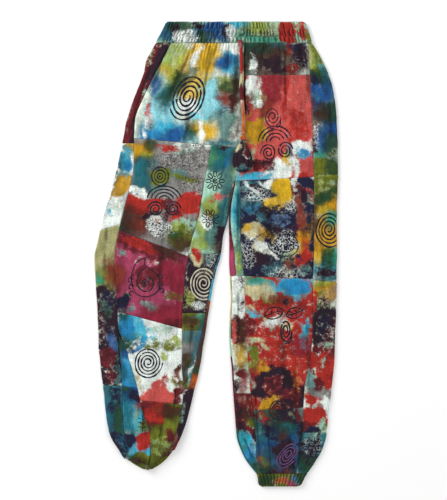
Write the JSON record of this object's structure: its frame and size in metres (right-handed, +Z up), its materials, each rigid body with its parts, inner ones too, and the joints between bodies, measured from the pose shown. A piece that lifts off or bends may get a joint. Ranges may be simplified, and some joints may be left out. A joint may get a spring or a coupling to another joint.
{
  "type": "harem pants",
  "caption": "Patchwork harem pants of tie-dyed, block-printed cotton with an elastic waist, a drawstring with a tassel, and gathered cuffs, laid flat with the front up.",
  "frame": {"origin": "centre of the box around the laid pants, on the surface they lie on", "axes": "+Z up from the surface, through the front; +Y from the hems to the waist; the wearer's right leg is at -X"},
  "size_m": [0.5238, 1, 0.0189],
  "materials": {
    "patchwork_cotton": "matte, tie-dyed and block-printed thin cotton",
    "waistband_cotton": "matte, tie-dyed cotton gathered on elastic",
    "cuff_cotton": "matte, tie-dyed cotton gathered on elastic",
    "drawstring_cotton": "matte, twisted strip of dyed cotton",
    "tassel_cotton": "matte, gathered scraps of dyed cotton"
  },
  "bodies": {
    "root": {"drawstring": "drawstring_cotton", "drawstring_knot": "drawstring_cotton", "left_back_1": "patchwork_cotton", "left_back_2": "patchwork_cotton", "left_back_3": "patchwork_cotton", "left_back_inner_1": "patchwork_cotton", "left_back_inner_2": "patchwork_cotton", "left_back_inner_3": "patchwork_cotton", "left_cuff": "cuff_cotton", "left_front_1": "patchwork_cotton", "left_front_2": "patchwork_cotton", "left_front_3": "patchwork_cotton", "left_front_4": "patchwork_cotton", "left_front_5": "patchwork_cotton", "left_inner_1": "patchwork_cotton", "left_inner_2": "patchwork_cotton", "left_inner_3": "patchwork_cotton", "left_side_1": "patchwork_cotton", "left_side_2": "patchwork_cotton", "left_side_3": "patchwork_cotton", "left_side_4": "patchwork_cotton", "right_back_1": "patchwork_cotton", "right_back_2": "patchwork_cotton", "right_back_3": "patchwork_cotton", "right_back_inner_1": "patchwork_cotton", "right_back_inner_2": "patchwork_cotton", "right_back_inner_3": "patchwork_cotton", "right_cuff_turned_under": "cuff_cotton", "right_front_1": "patchwork_cotton", "right_front_2": "patchwork_cotton", "right_front_3": "patchwork_cotton", "right_front_4": "patchwork_cotton", "right_front_5": "patchwork_cotton", "right_inner_1": "patchwork_cotton", "right_inner_2": "patchwork_cotton", "right_inner_3": "patchwork_cotton", "right_inner_4": "patchwork_cotton", "right_inner_5": "patchwork_cotton", "right_side_1": "patchwork_cotton", "right_side_2": "patchwork_cotton", "right_side_3": "patchwork_cotton", "right_side_4": "patchwork_cotton", "right_wedge_1": "patchwork_cotton", "right_wedge_2": "patchwork_cotton", "tassel": "tassel_cotton", "waistband_back": "waistband_cotton", "waistband_front": "waistband_cotton"}
  },
  "joints": []
}
